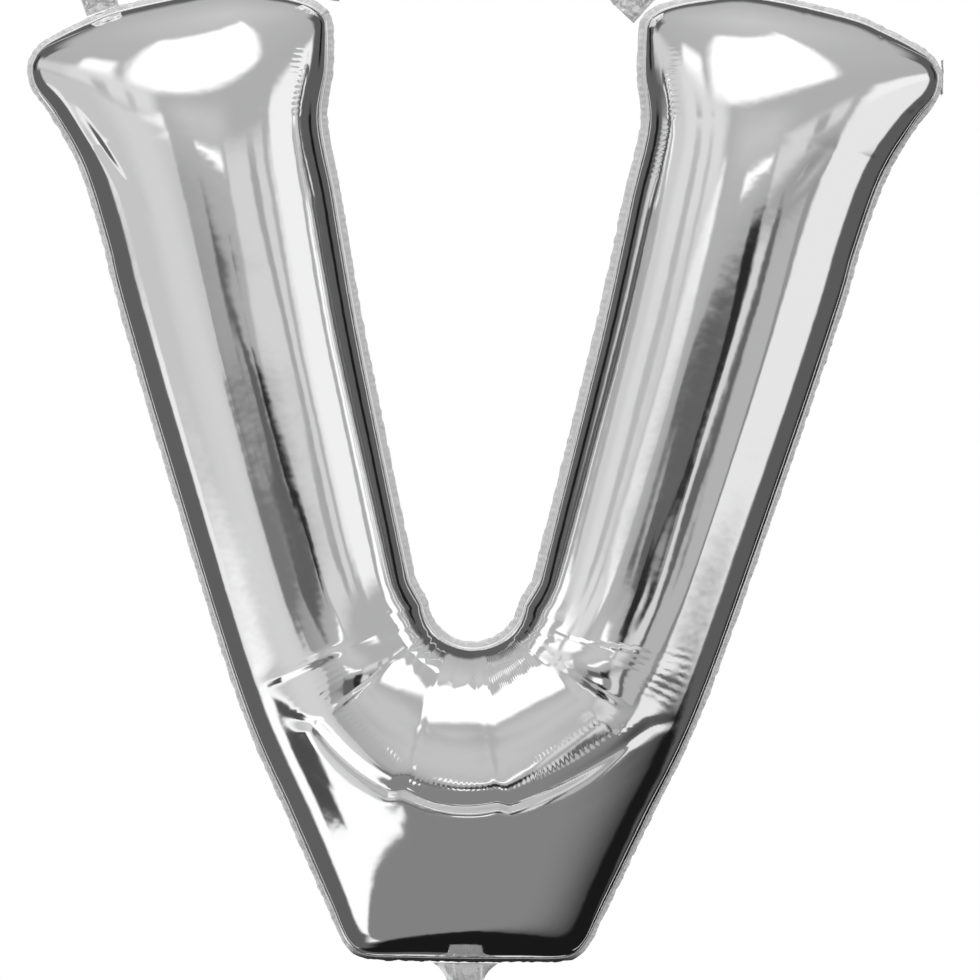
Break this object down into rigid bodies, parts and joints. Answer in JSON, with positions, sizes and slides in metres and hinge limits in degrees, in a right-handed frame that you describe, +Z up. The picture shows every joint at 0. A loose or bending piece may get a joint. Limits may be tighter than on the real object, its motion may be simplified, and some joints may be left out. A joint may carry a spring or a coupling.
{
  "type": "letter foil balloon",
  "caption": "Inflated silver foil balloon in the shape of a letter V, with a welded seam flange, a filling neck and hanging tabs.",
  "frame": {"origin": "middle of the bottom edge of the seam flange, where the filling neck starts and the ribbon is tied", "axes": "+X to the letter's right as it is read, +Y from the front towards the back, +Z up along the letter"},
  "size_m": [0.8062, 0.2002, 0.951],
  "materials": {
    "front_foil": "mirror-bright silver film, smooth, creased at the notch",
    "back_foil": "mirror-bright silver film",
    "welded_margin": "heat-welded silver film, puckered and frilly",
    "neck_foil": "crumpled silver film",
    "valve_film": "clear soft film",
    "tab_foil": "crumpled silver film"
  },
  "bodies": {
    "balloon": {"front_sheet": "front_foil", "back_sheet": "back_foil", "seam_flange": "welded_margin"},
    "neck": {"filling_neck": "neck_foil", "valve_film": "valve_film"},
    "tab_left_outer": {"tab_left_outer": "tab_foil"},
    "tab_left_inner": {"tab_left_inner": "tab_foil"},
    "tab_right_inner": {"tab_right_inner": "tab_foil"},
    "tab_right_outer": {"tab_right_outer": "tab_foil"}
  },
  "joints": [
    {"name": "neck_fold", "type": "hinge", "parent": "balloon", "child": "neck", "pos_m": [0, 0, 0], "axis": [1, 0, 0], "range_deg": [-70, 70]},
    {"name": "tab_left_outer_fold", "type": "hinge", "parent": "balloon", "child": "tab_left_outer", "pos_m": [-0.32865, 0, 0.83309], "axis": [0.9397, 0, 0.342], "range_deg": [-75, 75]},
    {"name": "tab_left_inner_fold", "type": "hinge", "parent": "balloon", "child": "tab_left_inner", "pos_m": [-0.13579, 0, 0.84553], "axis": [0.9903, 0, -0.1392], "range_deg": [-75, 75]},
    {"name": "tab_right_inner_fold", "type": "hinge", "parent": "balloon", "child": "tab_right_inner", "pos_m": [0.14884, 0, 0.83865], "axis": [0.6691, 0, 0.7431], "range_deg": [-75, 75]},
    {"name": "tab_right_outer_fold", "type": "hinge", "parent": "balloon", "child": "tab_right_outer", "pos_m": [0.41125, 0, 0.784], "axis": [0, 0, -1], "range_deg": [0, 165]}
  ]
}
